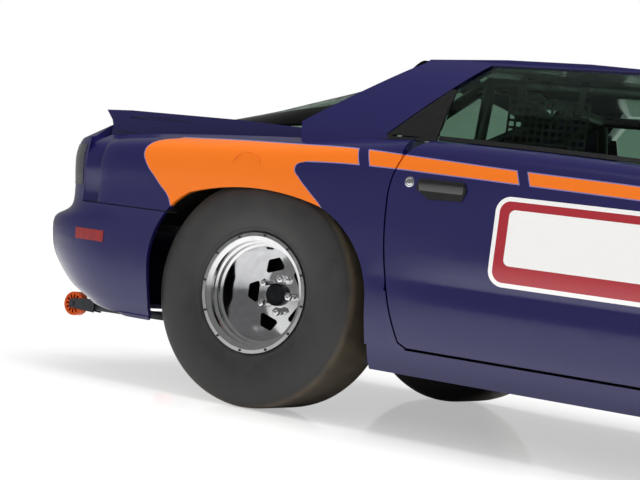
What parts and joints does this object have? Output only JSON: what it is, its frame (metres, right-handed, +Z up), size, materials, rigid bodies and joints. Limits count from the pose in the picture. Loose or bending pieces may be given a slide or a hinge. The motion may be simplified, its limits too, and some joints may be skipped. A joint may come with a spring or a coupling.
{
  "type": "drag racing car",
  "caption": "Two-door drag racing coupe with tall rear slicks, narrow front runners, tubbed floor, roll cage, hatch spoiler and wheelie bars with small spoked wheels.",
  "frame": {"origin": "on the floor, under the middle of the overall length, on the centre line", "axes": "+X forward, +Y to the car's left, +Z up"},
  "size_m": [4.9815, 1.9862, 1.32],
  "materials": {
    "body_paint": "deep blue clear coat with orange stripes",
    "black_trim": "satin black",
    "glass": "light green tint",
    "smoked_lens": "smoked, glossy",
    "red_lens": "glossy red",
    "clear_lens": "glossy clear over silver",
    "floor_steel": "dark satin paint",
    "cast_engine": "cast, dull",
    "chassis_steel": "grey steel",
    "exhaust_steel": "plain steel tube",
    "cage_paint": "black gloss",
    "seat_vinyl": "black vinyl",
    "dash_plastic": "grained black",
    "tyre_rubber": "soft slick rubber",
    "polished_alloy": "polished",
    "hub_black": "black anodised look",
    "orange_alloy": "orange anodised look"
  },
  "bodies": {
    "car": {"cowl_panel": "black_trim", "dashboard": "dash_plastic", "drive_line": "cast_engine", "driver_seat": "seat_vinyl", "engine_block": "cast_engine", "exhaust_pipes": "exhaust_steel", "floor_pan": "floor_steel", "front_control_arms": "chassis_steel", "front_fenders": "body_paint", "front_lamps": "clear_lens", "front_struts": "chassis_steel", "front_subframe": "floor_steel", "ladder_bars": "chassis_steel", "nose_cover": "body_paint", "quarter_panels": "body_paint", "quarter_windows": "black_trim", "rear_axle": "chassis_steel", "rear_shocks": "chassis_steel", "rocker_panels": "body_paint", "roll_cage": "cage_paint", "roof_panel": "body_paint", "side_markers": "red_lens", "tail_cover": "body_paint", "tail_lamps": "smoked_lens", "wheelie_bar": "chassis_steel", "windscreen": "glass", "windscreen_pillars": "body_paint"},
    "hood_lid": {"hood": "body_paint"},
    "hatch_lid": {"hatch_glass": "glass", "hatch_frame": "black_trim", "deck_lid": "body_paint", "rear_spoiler": "body_paint"},
    "left_door": {"door_left": "body_paint", "door_glass_left": "glass", "door_handle_left": "black_trim", "door_mirror_left": "body_paint"},
    "right_door": {"door_right": "body_paint", "door_glass_right": "glass", "door_handle_right": "black_trim", "door_mirror_right": "body_paint"},
    "rear_wheel_left": {"rear_tyre_left": "tyre_rubber", "rear_rim_left": "polished_alloy", "rear_hub_left": "hub_black"},
    "rear_wheel_right": {"rear_tyre_right": "tyre_rubber", "rear_rim_right": "polished_alloy", "rear_hub_right": "hub_black"},
    "front_wheel_left": {"front_tyre_left": "tyre_rubber", "front_rim_left": "polished_alloy", "front_hub_left": "hub_black"},
    "front_wheel_right": {"front_tyre_right": "tyre_rubber", "front_rim_right": "polished_alloy", "front_hub_right": "hub_black"},
    "steer_left": {"knuckle_left": "chassis_steel"},
    "steer_right": {"knuckle_right": "chassis_steel"},
    "wheelie_roller_left": {"wheelie_wheel_left": "orange_alloy"},
    "wheelie_roller_right": {"wheelie_wheel_right": "orange_alloy"},
    "steering_wheel_rim": {"steering_wheel": "dash_plastic"}
  },
  "joints": [
    {"name": "hood_hinge", "type": "hinge", "parent": "car", "child": "hood_lid", "pos_m": [0.8865, 0, 0.88], "axis": [0, -1, 0], "range_deg": [0, 50]},
    {"name": "hatch_hinge", "type": "hinge", "parent": "car", "child": "hatch_lid", "pos_m": [-0.7645, 0, 1.242], "axis": [0, 1, 0], "range_deg": [0, 45]},
    {"name": "left_door_hinge", "type": "hinge", "parent": "car", "child": "left_door", "pos_m": [0.6765, 0.888, 0.6], "axis": [0, 0, -1], "range_deg": [0, 48]},
    {"name": "right_door_hinge", "type": "hinge", "parent": "car", "child": "right_door", "pos_m": [0.6765, -0.888, 0.6], "axis": [0, 0, 1], "range_deg": [0, 48]},
    {"name": "rear_spin_left", "type": "hinge", "parent": "car", "child": "rear_wheel_left", "pos_m": [-1.2465, 0.765, 0.394], "axis": [0, 1, 0], "continuous": true},
    {"name": "rear_spin_right", "type": "hinge", "parent": "car", "child": "rear_wheel_right", "pos_m": [-1.2465, -0.765, 0.394], "axis": [0, 1, 0], "continuous": true},
    {"name": "steer_left_pin", "type": "hinge", "parent": "car", "child": "steer_left", "pos_m": [1.3215, 0.64, 0.33], "axis": [0, 0, 1], "range_deg": [-30, 30]},
    {"name": "front_spin_left", "type": "hinge", "parent": "steer_left", "child": "front_wheel_left", "pos_m": [1.3215, 0.775, 0.33], "axis": [0, 1, 0], "continuous": true},
    {"name": "steer_right_pin", "type": "hinge", "parent": "car", "child": "steer_right", "pos_m": [1.3215, -0.64, 0.33], "axis": [0, 0, 1], "range_deg": [-30, 30]},
    {"name": "front_spin_right", "type": "hinge", "parent": "steer_right", "child": "front_wheel_right", "pos_m": [1.3215, -0.775, 0.33], "axis": [0, 1, 0], "continuous": true},
    {"name": "wheelie_spin_left", "type": "hinge", "parent": "car", "child": "wheelie_roller_left", "pos_m": [-2.4425, 0.345, 0.214], "axis": [0, 1, 0], "continuous": true},
    {"name": "wheelie_spin_right", "type": "hinge", "parent": "car", "child": "wheelie_roller_right", "pos_m": [-2.4425, -0.345, 0.214], "axis": [0, 1, 0], "continuous": true},
    {"name": "steering_wheel_turn", "type": "hinge", "parent": "car", "child": "steering_wheel_rim", "pos_m": [0.3535, 0.392, 0.848], "axis": [-0.9578, 0, 0.2873], "range_deg": [-430, 430]}
  ],
  "couplings": [
    {"joint": "steer_right_pin", "follows": "steer_left_pin", "ratio": 1},
    {"joint": "steering_wheel_turn", "follows": "steer_left_pin", "ratio": 14}
  ]
}
